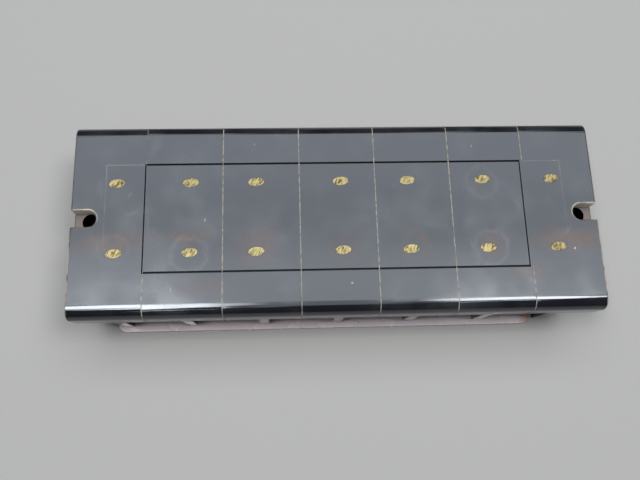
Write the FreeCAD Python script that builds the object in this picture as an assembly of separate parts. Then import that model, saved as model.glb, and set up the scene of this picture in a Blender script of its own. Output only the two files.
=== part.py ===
# Barrier terminal strip, six poles, in millimetres.
# It lies on its clear cover with the flat back up: +Z points out of the back, X runs along the
# row of poles and Y across it. The origin is under the middle of the strip, on the cover's face.
import FreeCAD, Part
import math
import os

V = FreeCAD.Vector

# Poles and the barriers between them; the end barriers stand a little further in
pole_count = 6
pole_pitch = 22.0
end_barrier_inset = 2.8
barrier_root = 2.9
barrier_tip = 2.5
barrier_height = 15.5
barrier_corner = 1.5

# Base of the housing, whose long sides slope in from the back to the barrier tips; an ear
# stands out at each end, beyond the outer poles
ear_length = 9.75
base_width = 57.8
base_thick = 10.0
side_draft = 3.0
back_edge_radius = 3.7
end_edge_radius = 0.4

# Fine groove that makes a rectangle on the back, ending near the middles of the outer poles; it
# is finer across the ends
groove_end_inset = 0.3
groove_span = 31.9
groove_shift = -0.5
groove_width = 0.6
groove_end_width = 0.35
groove_depth = 1.2

# Mounting notches at the ends: a round hole through the ear and the pad behind it, open to the
# end near the back
mount_hole_to_end = 4.75
mount_hole_radius = 2.4
notch_depth = 4.0
mount_pad_wall = 1.8
mount_pad_height = 8.0

# Terminal bars, laid in channels of the floor
bar_width = 12.0
bar_length = 42.0
screw_to_bar_end = 7.0
bar_thick = 2.5
bar_corner = 1.2
bar_recess = 1.0
bar_clearance = 0.15

# Terminal screws, two for each pole; the nuts take the same wrench as the heads
screw_radius = 3.0
screw_length = 10.0
screw_tip_chamfer = 0.6
across_flats = 10.0
head_height = 4.0
head_chamfer = 0.5
slot_width = 1.2
slot_depth = 1.6
hole_clearance = 0.3

# Moulded-in square nuts and the closed bores behind them
nut_thick = 5.0
thread_clearance = 0.06
bore_clearance = 0.5
bore_end_gap = 1.0

# Washers under the screw heads: a square one as wide as the bar and a split ring
clamp_thick = 1.2
clamp_corner = 1.0
spring_section = 2.35
spring_thick = 1.5
spring_gap = 1.0
spring_slant = 20.0
washer_clearance = 0.15

# Oval brass pins, ground flush with the back, near the middle of each barrier
pin_half_length = 2.27
pin_half_width = 1.3
pin_depth = 8.0
pin_row_offset = 10.35
pin_tilt = 5.0
pin_shifts = (0.0, 1.8, -1.5, 1.0, -1.5, -1.3, -0.1)

# Clear cover with two pegs, nearly as long as from the outer side of one end barrier to the other's
cover_end_clearance = 0.5
cover_thick = 2.0
cover_shift = -3.05
cover_corner = 2.3
cover_edge = 0.3
peg_radius = 1.5
peg_length = 8.0
peg_chamfer = 0.4
peg_clearance = 0.05
socket_end_gap = 1.0
boss_wall = 2.05
peg_barriers = (1, 5)

# Levels, from the cover's outer face up to the back
z_tip = cover_thick
z_floor = z_tip + barrier_height
z_back = z_floor + base_thick
z_seat = z_floor + bar_recess
z_bar = z_seat - bar_thick
z_clamp = z_bar - clamp_thick
z_head = z_clamp - spring_thick
z_nut_end = z_seat + nut_thick
z_screw_end = z_head + screw_length
z_bore_end = max(z_screw_end, z_nut_end) + bore_end_gap

# Sizes that follow from the driving ones
barrier_count = pole_count + 1
row_length = pole_pitch * pole_count
base_length = row_length + 2 * ear_length
mount_spacing = base_length - 2 * mount_hole_to_end
mount_pad_radius = mount_hole_radius + mount_pad_wall
groove_length = row_length - pole_pitch - 2 * groove_end_inset
screw_row_offset = bar_length / 2 - screw_to_bar_end
bore_radius = screw_radius + bore_clearance
washer_hole_radius = screw_radius + washer_clearance
spring_radius = washer_hole_radius + spring_section
cover_length = row_length - 2 * end_barrier_inset + barrier_tip - 2 * cover_end_clearance
peg_socket_radius = peg_radius + peg_clearance
boss_radius = peg_socket_radius + boss_wall
cutter_excess = 1.0


def barrier_x(index):
    """X of the middle of a barrier, counted from the left."""
    inset = {0: end_barrier_inset, pole_count: -end_barrier_inset}.get(index, 0.0)
    return index * pole_pitch - row_length / 2 + inset


def pole_x(index):
    """X of the middle of a pole, which is the axis of its two screws."""
    return (index + 0.5) * pole_pitch - row_length / 2


def block(x_mid, y_mid, z_low, length, width, height):
    """A box centred on a point in X and Y, standing on a level."""
    corner = V(x_mid - length / 2, y_mid - width / 2, z_low)
    return Part.makeBox(length, width, height, corner)


def rounded_block(x_mid, y_mid, z_low, length, width, height, radius):
    """A box whose four upright edges are rounded."""
    shape = block(x_mid, y_mid, z_low, length, width, height)
    upright = [edge for edge in shape.Edges if abs(edge.tangentAt(edge.FirstParameter).z) > 0.9]
    return shape.makeFillet(radius, upright)


def post(x, y, z_low, radius, height):
    """A round post or the cutter of a round hole, standing on a level."""
    return Part.makeCylinder(radius, height, V(x, y, z_low))


def oval_pin(x, y, z_low, height):
    """An oval pin whose long axis is turned a little from X."""
    ellipse = Part.Ellipse(V(0, 0, 0), pin_half_length, pin_half_width)
    face = Part.Face(Part.Wire([ellipse.toShape()]))
    face.rotate(V(0, 0, 0), V(0, 0, 1), pin_tilt)
    face.translate(V(x, y, z_low))
    return face.extrude(V(0, 0, height))


def pin_places(side):
    """The middles of the oval pins of one row; side is -1 for the front row and 1 for the rear."""
    return [(barrier_x(index) + pin_shifts[index % len(pin_shifts)], side * pin_row_offset)
            for index in range(barrier_count)]


def screw_places(side):
    """The axes of the terminal screws of one row."""
    return [(pole_x(index), side * screw_row_offset) for index in range(pole_count)]


def drafted_block(z_low):
    """The block from a level up to the back, with long sides that slope in away from the back."""
    low_half = base_width / 2 - (z_back - z_low) * math.tan(math.radians(side_draft))
    x_end = -base_length / 2
    corners = [V(x_end, base_width / 2, z_back), V(x_end, -base_width / 2, z_back),
               V(x_end, -low_half, z_low), V(x_end, low_half, z_low)]
    return Part.Face(Part.makePolygon(corners + corners[:1])).extrude(V(base_length, 0, 0))


def base():
    """The plate behind the barriers, with its long back edges rounded well and its ends a little."""
    shape = drafted_block(z_floor)
    long_edges = [edge for edge in shape.Edges
                  if edge.BoundBox.ZMin > z_back - 0.01 and edge.BoundBox.XLength > base_length / 2]
    shape = shape.makeFillet(back_edge_radius, long_edges)
    end_edges = [edge for edge in shape.Edges
                 if edge.BoundBox.XLength < 0.01 and edge.BoundBox.ZMax > z_floor + 0.01]
    return shape.makeFillet(end_edge_radius, end_edges)


def barrier(x):
    """One barrier wall: thinner towards its tip, its ends in line with the sides of the base."""
    corners = [V(x - barrier_root / 2, -base_width, z_floor), V(x + barrier_root / 2, -base_width, z_floor),
               V(x + barrier_tip / 2, -base_width, z_tip), V(x - barrier_tip / 2, -base_width, z_tip)]
    face = Part.Face(Part.makePolygon(corners + corners[:1]))
    wall = face.extrude(V(0, 2 * base_width, 0)).common(drafted_block(z_tip))
    tip_edges = [edge for edge in wall.Edges
                 if edge.BoundBox.YLength < 0.01 and edge.BoundBox.ZMax < z_tip + 0.01]
    return wall.makeFillet(barrier_corner, tip_edges)


def groove():
    """The cutter of the fine rectangular groove on the back."""
    z_low = z_back - groove_depth
    height = groove_depth + cutter_excess
    outer = block(groove_shift, 0, z_low, groove_length + groove_end_width, groove_span + groove_width, height)
    inner = block(groove_shift, 0, z_low, groove_length - groove_end_width, groove_span - groove_width, height)
    return outer.cut(inner)


def mounting_pad(side):
    """The pad round one mounting hole, between the ear and the end barrier."""
    x = side * mount_spacing / 2
    reach = mount_spacing / 2 - barrier_x(pole_count)
    z_low = z_floor - mount_pad_height
    web = block(x - side * reach / 2, 0, z_low, reach, 2 * mount_pad_radius, mount_pad_height)
    return post(x, 0, z_low, mount_pad_radius, mount_pad_height).fuse(web)


def mounting_notch(side):
    """The cutters of one mounting hole and of its notch, open to the end."""
    x = side * mount_spacing / 2
    z_low = z_floor - mount_pad_height - cutter_excess
    through = post(x, 0, z_low, mount_hole_radius, z_back - z_low + cutter_excess)
    notch_length = mount_hole_to_end + cutter_excess
    notch = block(x + side * notch_length / 2, 0, z_back - notch_depth,
                  notch_length, 2 * mount_hole_radius, notch_depth + cutter_excess)
    return [through, notch]


def pole_pockets(index):
    """The cutters of one pole: the bar's channel, the nut pockets and the screw bores."""
    cutters = [rounded_block(pole_x(index), 0, z_floor - cutter_excess,
                             bar_width + 2 * bar_clearance, bar_length + 2 * bar_clearance,
                             bar_recess + cutter_excess, bar_corner + bar_clearance)]
    for side in (-1, 1):
        x, y = screw_places(side)[index]
        cutters.append(block(x, y, z_seat, across_flats, across_flats, nut_thick))
        cutters.append(post(x, y, z_seat, bore_radius, z_bore_end - z_seat))
    return cutters


def housing():
    """The black moulding: base, barriers, bosses, pads and every pocket and hole in them."""
    solids = [barrier(barrier_x(index)) for index in range(barrier_count)]
    solids += [mounting_pad(side) for side in (-1, 1)]
    solids += [post(barrier_x(index), 0, z_tip, boss_radius, barrier_height) for index in peg_barriers]
    cutters = [groove()]
    for side in (-1, 1):
        cutters += mounting_notch(side)
        cutters += [oval_pin(x, y, z_back - pin_depth, pin_depth) for x, y in pin_places(side)]
    for index in range(pole_count):
        cutters += pole_pockets(index)
    cutters += [post(barrier_x(index), 0, z_tip, peg_socket_radius, peg_length + socket_end_gap)
                for index in peg_barriers]
    return base().fuse(solids).removeSplitter().cut(cutters)


def cover():
    """The clear cover: a flat strip with rounded corners, broken edges and two pegs."""
    plate = rounded_block(cover_shift, 0, 0, cover_length, base_width, cover_thick, cover_corner)
    rim = [edge for edge in plate.Edges
           if edge.BoundBox.ZLength < 0.01 and edge.BoundBox.ZMax < 0.01]
    plate = plate.makeChamfer(cover_edge, rim)
    pegs = []
    for index in peg_barriers:
        peg = post(barrier_x(index), 0, z_tip - cover_thick / 2, peg_radius, peg_length + cover_thick / 2)
        tip = [edge for edge in peg.Edges if edge.BoundBox.ZMin > z_tip + peg_length - 0.01]
        pegs.append(peg.makeChamfer(peg_chamfer, tip))
    return plate.fuse(pegs).removeSplitter()


def terminal_bar(index):
    """The flat bar of one pole, with a clearance hole for each of its two screws."""
    bar = rounded_block(pole_x(index), 0, z_bar, bar_width, bar_length, bar_thick, bar_corner)
    holes = []
    for side in (-1, 1):
        x, y = screw_places(side)[index]
        holes.append(post(x, y, z_bar - cutter_excess, screw_radius + hole_clearance,
                          bar_thick + 2 * cutter_excess))
    return bar.cut(holes)


def terminal_screw(x, y):
    """One hexagon screw with a slot; its head faces down and its plain shank stands for the thread."""
    corner_radius = across_flats / 2 / math.cos(math.pi / 6)
    corners = [V(x + corner_radius * math.cos(turn * math.pi / 3),
                 y + corner_radius * math.sin(turn * math.pi / 3), z_head - head_height)
               for turn in range(7)]
    head = Part.Face(Part.makePolygon(corners)).extrude(V(0, 0, head_height))
    turned = Part.makeCone(corner_radius - head_chamfer, corner_radius + head_height - head_chamfer,
                           head_height, V(x, y, z_head - head_height))
    head = head.common(turned)
    slot = block(x, y, z_head - head_height - cutter_excess,
                 3 * corner_radius, slot_width, slot_depth + cutter_excess)
    shank = post(x, y, z_head, screw_radius, screw_length)
    tip = [edge for edge in shank.Edges if edge.BoundBox.ZMin > z_screw_end - 0.01]
    shank = shank.makeChamfer(screw_tip_chamfer, tip)
    return head.cut(slot).fuse(shank).removeSplitter()


def clamp_washer(x, y):
    """One square washer with rounded corners."""
    plate = rounded_block(x, y, z_clamp, bar_width, bar_width, clamp_thick, clamp_corner)
    return plate.cut(post(x, y, z_clamp - cutter_excess, washer_hole_radius, clamp_thick + 2 * cutter_excess))


def spring_washer(x, y):
    """One spring washer, pressed flat, with its slanted split facing out along X."""
    ring = post(x, y, z_head, spring_radius, spring_thick)
    ring = ring.cut(post(x, y, z_head - cutter_excess, washer_hole_radius, spring_thick + 2 * cutter_excess))
    split = block(x + spring_radius, y, z_head - spring_thick, 2 * spring_radius, spring_gap,
                  3 * spring_thick)
    split.rotate(V(x, y, z_head + spring_thick / 2), V(1, 0, 0), spring_slant)
    return ring.cut(split)


def square_nut(x, y):
    """One square nut; its plain bore stands for the thread."""
    nut = block(x, y, z_seat, across_flats, across_flats, nut_thick)
    return nut.cut(post(x, y, z_seat - cutter_excess, screw_radius + thread_clearance,
                        nut_thick + 2 * cutter_excess))


def save(name, shape):
    """Write one node to its own file."""
    shape.exportStep("parts/" + name + ".step")


os.makedirs("parts", exist_ok=True)
save("housing", housing())
save("cover", cover())
for pole in range(pole_count):
    save(f"terminal_bar_{pole + 1}", terminal_bar(pole))
for row, side in (("front", -1), ("rear", 1)):
    for pole, (x, y) in enumerate(screw_places(side)):
        save(f"terminal_screw_{row}_{pole + 1}", terminal_screw(x, y))
        save(f"clamp_washer_{row}_{pole + 1}", clamp_washer(x, y))
        save(f"spring_washer_{row}_{pole + 1}", spring_washer(x, y))
    nuts = [square_nut(x, y) for x, y in screw_places(side)]
    save(f"terminal_nuts_{row}", Part.makeCompound(nuts))
    pins = [oval_pin(x, y, z_back - pin_depth, pin_depth) for x, y in pin_places(side)]
    save(f"anchor_pins_{row}", Part.makeCompound(pins))
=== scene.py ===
import math

import bmesh
import bpy
from mathutils import Matrix, Vector


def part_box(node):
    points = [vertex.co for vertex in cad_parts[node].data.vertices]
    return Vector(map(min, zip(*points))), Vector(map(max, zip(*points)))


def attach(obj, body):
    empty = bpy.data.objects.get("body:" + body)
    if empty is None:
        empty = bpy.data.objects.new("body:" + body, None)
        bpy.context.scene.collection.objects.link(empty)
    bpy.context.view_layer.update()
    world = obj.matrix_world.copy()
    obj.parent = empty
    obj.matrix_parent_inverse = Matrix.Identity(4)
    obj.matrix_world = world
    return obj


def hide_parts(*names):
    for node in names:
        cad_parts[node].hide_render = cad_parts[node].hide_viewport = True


bl_info = {
    "name": "Barrier terminal strip",
    "version": (1, 0, 0),
    "blender": (4, 5, 0),
    "location": "3D View > Sidebar > Terminal strip",
    "description": "Models and finishes a six-pole barrier terminal strip that lies on its clear cover",
    "category": "Object",
}

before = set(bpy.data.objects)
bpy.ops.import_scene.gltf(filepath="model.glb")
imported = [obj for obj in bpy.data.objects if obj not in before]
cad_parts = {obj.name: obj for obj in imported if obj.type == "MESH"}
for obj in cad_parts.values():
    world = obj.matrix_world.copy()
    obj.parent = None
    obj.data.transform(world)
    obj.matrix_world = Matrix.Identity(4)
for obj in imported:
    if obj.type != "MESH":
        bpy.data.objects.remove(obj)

MM = 0.001
ROWS = (("front", -1), ("rear", 1))

# Faces and edges are found by their place to within this
HAIR = 0.01 * MM
# A solid that cuts another one stands this far past its face, and an added one lies this deep in it
PAST = 1 * MM
OVERLAP = 0.5 * MM
# Room round the bars in their channels and in front of the nuts
ROOM = 0.15 * MM
# The thread's ridge is sunk this deep into its core
SUNK = 0.1 * MM

# Edges are rounded where they turn by more degrees than this
SHARP_EDGE = 35.0
# Z of the normal of a level face, and the area from which such a face gets a narrow rim
LEVEL = 0.9999
LARGE_FACE = 4.0 * MM * MM
NARROW_RIM = 0.06 * MM


def linear(hex_colour):
    """Turn an sRGB hex colour into the linear one that Blender's sockets take."""
    parts = [int(hex_colour[i:i + 2], 16) / 255 for i in (1, 3, 5)]
    return tuple(p / 12.92 if p <= 0.04045 else ((p + 0.055) / 1.055) ** 2.4 for p in parts)


def opaque(colour):
    """A linear colour with its alpha, as colour sockets take it."""
    return (*colour, 1.0)


def length(name, text, millimetres):
    """A size that a user may change, given in millimetres and kept in metres."""
    return bpy.props.FloatProperty(name=name, description=text, default=millimetres * MM,
                                   min=0.0, subtype="DISTANCE", unit="LENGTH", precision=4)


def degrees(name, text, value):
    """An angle that a user may change, given in degrees and kept in radians."""
    return bpy.props.FloatProperty(name=name, description=text, default=math.radians(value),
                                   subtype="ANGLE", unit="ROTATION")


def colour(name, text, hex_colour):
    """A colour that a user may change, given as an sRGB hex value."""
    return bpy.props.FloatVectorProperty(name=name, description=text, size=3, subtype="COLOR",
                                         default=linear(hex_colour), min=0.0, max=1.0)


class BlockSizes(bpy.types.PropertyGroup):
    """Sizes of the black moulding."""

    pole_count: bpy.props.IntProperty(name="Poles", description="Number of terminals in a row",
                                      default=6, min=2)
    pole_pitch: length("Pole pitch", "From one terminal to the next", 22.0)
    end_inset: length("End barrier inset", "How far the end barriers stand in from the pitch", 2.8)
    barrier_root: length("Barrier root", "Thickness of a barrier at the floor", 2.9)
    barrier_tip: length("Barrier tip", "Thickness of a barrier at its tip", 2.5)
    barrier_height: length("Barrier height", "From the floor to the barrier tips", 15.5)
    barrier_corner: length("Barrier corner", "Radius of the tip corners", 1.5)
    side_draft: degrees("Side draft", "Slope of the long sides", 3.0)
    back_radius: length("Long edge radius", "Radius of the long edges of the back", 3.7)
    end_radius: length("End edge radius", "Rounding of the end edges and the notch rims", 0.4)
    groove_length: length("Groove length", "Length of the rectangle that the groove makes", 109.4)
    groove_span: length("Groove span", "Width of the rectangle that the groove makes", 31.9)
    groove_shift: length("Groove shift", "How far the rectangle lies to the left", 0.5)
    groove_width: length("Groove width", "Width of the long grooves", 0.6)
    groove_end_width: length("End groove width", "Width of the grooves across the ends", 0.35)
    groove_depth: length("Groove depth", "Depth of the groove", 1.2)
    seam_width: length("Seam width", "Width of a flash line across the back", 0.26)
    seam_height: length("Seam height", "How far a flash line stands up", 0.05)
    hole_spacing: length("Mounting spacing", "Between the mounting holes", 142.0)
    hole_radius: length("Mounting hole radius", "Radius of a mounting hole", 2.4)
    notch_depth: length("Notch depth", "Depth of the open notch at a mounting hole", 4.0)
    pad_wall: length("Pad wall", "Wall of the pad round a mounting hole", 1.8)
    pad_height: length("Pad height", "Height of that pad over the floor", 8.0)
    socket_radius: length("Socket radius", "Radius of the sockets for the cover's pegs", 1.55)
    socket_depth: length("Socket depth", "Depth of those sockets", 9.0)
    boss_radius: length("Boss radius", "Radius of the bosses round the sockets", 3.6)
    bore_radius: length("Bore radius", "Radius of the bores behind the nuts", 3.5)
    edge_break: length("Edge break", "Most rounding of the moulding's sharp edges", 0.16)


class PinSizes(bpy.types.PropertyGroup):
    """Sizes of the oval pins in the back."""

    half_length: length("Half length", "Half the oval's long axis", 2.27)
    half_width: length("Half width", "Half the oval's short axis", 1.3)
    depth: length("Depth", "How deep a pin goes into the moulding", 8.0)
    tilt: degrees("Tilt", "Turn of the ovals", 5.0)
    proud: length("Proud", "How far the ground ends stand over the back", 0.02)
    edge_break: length("Edge break", "Rounding of the ground ends' edges", 0.06)


class MetalSizes(bpy.types.PropertyGroup):
    """Sizes of the bars, screws and washers."""

    row_offset: length("Screw row offset", "From the middle of the strip to a row of screws", 14.0)
    bar_corner: length("Bar corner", "Corner radius of a bar", 1.2)
    bar_hole: length("Bar hole radius", "Radius of a hole in a bar", 3.3)
    screw_radius: length("Screw radius", "Outer radius of the screw thread", 3.0)
    thread_pitch: length("Thread pitch", "Rise of the thread in one turn", 1.0)
    thread_depth: length("Thread depth", "Depth of the thread", 0.55)
    tip_chamfer: length("Tip chamfer", "Chamfer of the screw's tip", 0.4)
    head_height: length("Head height", "Height of the hexagon head", 4.0)
    head_flats: length("Head size", "Across the flats of the hexagon", 10.0)
    head_chamfer: length("Head chamfer", "Chamfer of the head's corners", 0.5)
    head_edge: length("Head edge", "Rounding of the head's edges", 0.12)
    slot_width: length("Slot width", "Width of the screwdriver slot", 1.2)
    slot_depth: length("Slot depth", "Depth of the screwdriver slot", 1.6)
    washer_hole: length("Washer hole radius", "Radius of the holes in the washers", 3.15)
    clamp_corner: length("Clamp corner", "Corner radius of a square washer", 1.0)
    spring_gap: length("Spring washer gap", "Width of the split", 1.0)
    spring_slant: degrees("Spring washer slant", "Slant of the split", 20.0)
    edge_break: length("Edge break", "Rounding of the bars' and washers' edges", 0.15)


class CoverSizes(bpy.types.PropertyGroup):
    """Sizes of the clear cover."""

    thick: length("Thickness", "Thickness of the strip", 2.0)
    corner: length("Corner radius", "Radius of the corners", 2.3)
    edge_break: length("Edge break", "Rounding of the cut edges", 0.2)
    peg_radius: length("Peg radius", "Radius of the pegs", 1.5)
    peg_chamfer: length("Peg chamfer", "Chamfer of the peg tips", 0.4)


class StripColours(bpy.types.PropertyGroup):
    """Colours of the strip and its stage."""

    phenolic: colour("Phenolic", "Black moulding compound", "#17181b")
    phenolic_haze: colour("Haze", "Pale film on the moulding", "#55585a")
    phenolic_stain: colour("Stain", "Brown stain round the pins", "#40302b")
    # Painted shade and painted light on the notch walls: the low colour is darkened where shade falls near
    # the ledge, and the rubbed pale colour higher up is brightened where light from the front falls
    notch_wall_shade: colour("Notch wall", "Dull walls of the mounting notches, low down", "#695e56")
    notch_rim_wear_and_light: colour("Notch rim", "The same walls higher up, rubbed pale", "#e2d5c5")
    # Painted shade: the bores and the groove are coloured near black where hardly any light falls in them
    hollow_shade: colour("Deep hole", "Bores and grooves, where hardly any light falls", "#0d0d0f")
    # Pale of the rubbed edges, which also carries painted light and a painted highlight along the notch
    # rims and the end edges
    worn_and_lit_rim: colour("Worn rim", "Rubbed edges of the moulding", "#bdb2a4")
    flash: colour("Flash line", "Dusty mould flash on the back", "#a89d88")
    brass: colour("Brass", "Bare brass of the pins", "#9d9169")
    brass_dark: colour("Brass grime", "Grime in the grinding marks", "#565034")
    clear_plastic: colour("Clear plastic", "Body of the cover", "#faecef")
    # Painted glow: the sawn end of the cover is coloured warmer for the light that its edge carries
    cut_edge_glow: colour("Cut edge", "Sawn edges of the cover", "#ecb9a8")
    nickel: colour("Nickel", "Nickel plating of the bars and nuts", "#b9b4a6")
    nickel_dull: colour("Dulled nickel", "The same where it has tarnished", "#9e998d")
    zinc: colour("Zinc", "Zinc plating of the screws and washers", "#b4b6b4")
    zinc_dull: colour("Dulled zinc", "The same where it has dulled", "#949694")
    floor: colour("Floor", "Plain pale floor", "#b2b1af")
    surroundings: colour("Surroundings", "Dim plain surroundings", "#42454f")


def deselect():
    """Leave the edit mode and leave nothing selected."""
    if bpy.context.object and bpy.context.object.mode != "OBJECT":
        bpy.ops.object.mode_set(mode="OBJECT")
    bpy.ops.object.select_all(action="DESELECT")


def activate(obj):
    """Make one object the only selected one."""
    deselect()
    obj.select_set(True)
    bpy.context.view_layer.objects.active = obj


def named(name):
    """Name the primitive that was just added, with its place in its mesh."""
    obj = bpy.context.object
    obj.name = name
    obj.data.name = name
    bpy.ops.object.transform_apply(location=True, rotation=True, scale=True)
    return obj


def new_box(name, low, high):
    """A cube primitive between two corners."""
    deselect()
    low, high = Vector(low), Vector(high)
    bpy.ops.mesh.primitive_cube_add(size=1, location=(low + high) / 2, scale=high - low)
    return named(name)


def new_post(name, x, y, z_low, z_high, radius, sides=48):
    """A cylinder primitive that stands on a level."""
    deselect()
    bpy.ops.mesh.primitive_cylinder_add(vertices=sides, radius=radius, depth=z_high - z_low,
                                        location=(x, y, (z_low + z_high) / 2))
    return named(name)


def copy_at(obj, name, shift):
    """A copy of a piece with its own mesh, moved in its mesh."""
    copy = obj.copy()
    copy.data = obj.data.copy()
    copy.name = name
    copy.data.name = name
    copy.data.transform(Matrix.Translation(shift))
    bpy.context.scene.collection.objects.link(copy)
    return copy


def pick(obj, kind, test):
    """In edit mode, select only the vertices, edges or faces that pass a test."""
    activate(obj)
    bpy.ops.object.mode_set(mode="EDIT")
    bpy.ops.mesh.select_mode(type=kind)
    bpy.ops.mesh.select_all(action="DESELECT")
    mesh = bmesh.from_edit_mesh(obj.data)
    items = {"VERT": mesh.verts, "EDGE": mesh.edges, "FACE": mesh.faces}[kind]
    mesh.normal_update()
    for item in items:
        if test(item):
            item.select_set(True)
    bmesh.update_edit_mesh(obj.data)


def middle(edge):
    """The middle of an edge."""
    return (edge.verts[0].co + edge.verts[1].co) / 2


def along(edge, axis):
    """True for an edge that runs along an axis, 0 for X, 1 for Y and 2 for Z."""
    run = edge.verts[1].co - edge.verts[0].co
    return abs(run[axis]) > 0.9 * run.length


def above(level):
    """A test for edges that lie wholly above a level."""
    return lambda edge: min(v.co.z for v in edge.verts) > level


def faces_up(face):
    """True for a face that looks up and is nearly level."""
    return face.normal.z > 0.99


def faces_down(face):
    """True for a face that looks down."""
    return face.normal.z < -0.9


def bevel_edges(obj, test, width, segments):
    """Round the edges that pass a test, or chamfer them with a single segment."""
    pick(obj, "EDGE", test)
    bpy.ops.mesh.bevel(offset=width, segments=segments, affect="EDGES")
    bpy.ops.object.mode_set(mode="OBJECT")


def bisect(obj, axis, places, half, test):
    """Cut the faces that pass a test across an axis, at both edges of a strip round each place."""
    for place in places:
        for edge in (place - half, place + half):
            pick(obj, "FACE", test)
            point, normal = Vector(), Vector()
            point[axis] = edge
            normal[axis] = 1.0
            bpy.ops.mesh.bisect(plane_co=point, plane_no=normal, use_fill=False)


def joined(pieces):
    """Join several objects into the first of them."""
    activate(pieces[0])
    for piece in pieces[1:]:
        piece.select_set(True)
    if len(pieces) > 1:
        bpy.ops.object.join()
    return pieces[0]


def apply_modifier(obj, kind, **settings):
    """Add a modifier, set it up and apply it."""
    modifier = obj.modifiers.new(kind.title(), kind)
    for name, value in settings.items():
        setattr(modifier, name, value)
    activate(obj)
    bpy.ops.object.modifier_apply(modifier=modifier.name)


def combine(obj, tools, operation):
    """Cut with, add or keep the common part of several tool solids, which are then removed."""
    tool = joined(tools)
    apply_modifier(obj, "BOOLEAN", operation=operation, solver="EXACT", object=tool)
    bpy.data.meshes.remove(tool.data)


def soften(obj, width):
    """Round the sharp edges by up to a width, and by less on a piece whose short edges leave no room
    for it, and shade the piece. A narrow rim is inset into its large level faces, so that they stay
    flat up to their edges."""
    apply_modifier(obj, "BEVEL", width=width, segments=2, limit_method="ANGLE",
                   angle_limit=math.radians(SHARP_EDGE), use_clamp_overlap=True)
    pick(obj, "FACE", lambda f: f.normal.z > LEVEL and f.calc_area() > LARGE_FACE)
    bpy.ops.mesh.inset(thickness=NARROW_RIM, depth=0)
    bpy.ops.object.mode_set(mode="OBJECT")
    shade(obj)


def shade(obj, angle=50.0):
    """Shade smoothly over small turns and keep the flat faces flat."""
    activate(obj)
    bpy.ops.object.shade_smooth_by_angle(angle=math.radians(angle))
    apply_modifier(obj, "WEIGHTED_NORMAL", keep_sharp=True, weight=80)


def give_materials(obj, *materials):
    """Give a piece its materials in place of any that it has."""
    obj.data.materials.clear()
    for material in materials:
        obj.data.materials.append(material)


def finish_piece(obj, body, node):
    """Attach a finished piece to its body and hide the imported node that it stands for."""
    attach(obj, body)
    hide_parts(node)


def barrier_x(sizes, index):
    """X of the middle of a barrier, counted from the left."""
    x = (index - sizes.pole_count / 2) * sizes.pole_pitch
    if index == 0:
        return x + sizes.end_inset
    if index == sizes.pole_count:
        return x - sizes.end_inset
    return x


def pole_x(sizes, index):
    """X of the middle of a pole."""
    return (index + 0.5 - sizes.pole_count / 2) * sizes.pole_pitch


def seam_places(sizes):
    """X of the flash lines, each over the middle of a pole."""
    return [pole_x(sizes, i) for i in range(sizes.pole_count)]


def nearest(places, point):
    """The one of several places along X that is nearest to a point."""
    return min(places, key=lambda x: abs(point.x - x))


def pin_places(row):
    """The middles of one row of oval pins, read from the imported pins."""
    mesh = bmesh.new()
    mesh.from_mesh(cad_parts["anchor_pins_" + row].data)
    bmesh.ops.remove_doubles(mesh, verts=mesh.verts, dist=HAIR)
    places = []
    left = set(mesh.verts)
    while left:
        group = [left.pop()]
        for vertex in group:
            fresh = [e.other_vert(vertex) for e in vertex.link_edges if e.other_vert(vertex) in left]
            left.difference_update(fresh)
            group.extend(dict.fromkeys(fresh))
        xs = [v.co.x for v in group]
        ys = [v.co.y for v in group]
        places.append(((min(xs) + max(xs)) / 2, (min(ys) + max(ys)) / 2))
    mesh.free()
    return sorted(places)


def add_node(tree, kind, inputs=None, out=0, **settings):
    """Add one shader node, set it up, set or link its inputs, and return one of its outputs. Inputs and
    the output are given by name or number."""
    node = tree.nodes.new("ShaderNode" + kind)
    for name, value in settings.items():
        setattr(node, name, value)
    for key, value in (inputs or {}).items():
        if isinstance(value, bpy.types.NodeSocket):
            tree.links.new(value, node.inputs[key])
        else:
            node.inputs[key].default_value = value
    return node.outputs[out]


def new_material(name, **values):
    """A material with one principled shader, whose even values are set on its own sockets."""
    material = bpy.data.materials.new(name)
    material.use_nodes = True
    tree = material.node_tree
    shader = tree.nodes["Principled BSDF"]
    for key, value in values.items():
        shader.inputs[key.replace("_", " ")].default_value = value
    return material, tree, shader


def place_in_mm(tree):
    """The place on the piece in millimetres."""
    place = add_node(tree, "TexCoord", out="Object")
    return add_node(tree, "VectorMath", {0: place, "Scale": 1 / MM}, operation="SCALE")


def connect(tree, shader, sockets):
    """Link sockets to the shader's inputs by name."""
    for name, socket in sockets.items():
        tree.links.new(socket, shader.inputs[name])


def model_base(sizes, low, high, z_floor):
    """The plate behind the barriers, with its long back edges rounded well and its ends a little."""
    base = new_box("moulded_block", (low.x, low.y, z_floor), high)
    thick = high.z - z_floor
    half = (high.y - low.y) / 2
    shrink = (half - thick * math.tan(sizes.side_draft)) / half
    pick(base, "VERT", lambda v: v.co.z < z_floor + 0.1 * thick)
    bpy.ops.transform.resize(value=(1, shrink, 1), center_override=(0, 0, z_floor))
    corner = math.pi / 2 - sizes.side_draft
    bevel_edges(base, lambda e: middle(e).z > high.z - 0.1 * thick and along(e, 0),
                sizes.back_radius / math.tan(corner / 2), 32)
    cut_notches(base, sizes, high)
    hole_x = sizes.hole_spacing / 2 - sizes.hole_radius - HAIR

    def on_end_or_rim(edge):
        point = middle(edge)
        if abs(point.x) > high.x - HAIR:
            return point.z > z_floor + HAIR
        on_back = point.z > high.z - HAIR
        return on_back and abs(point.x) > hole_x and abs(point.y) < sizes.hole_radius + HAIR

    bevel_edges(base, on_end_or_rim, sizes.end_radius, 3)
    return base


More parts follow.
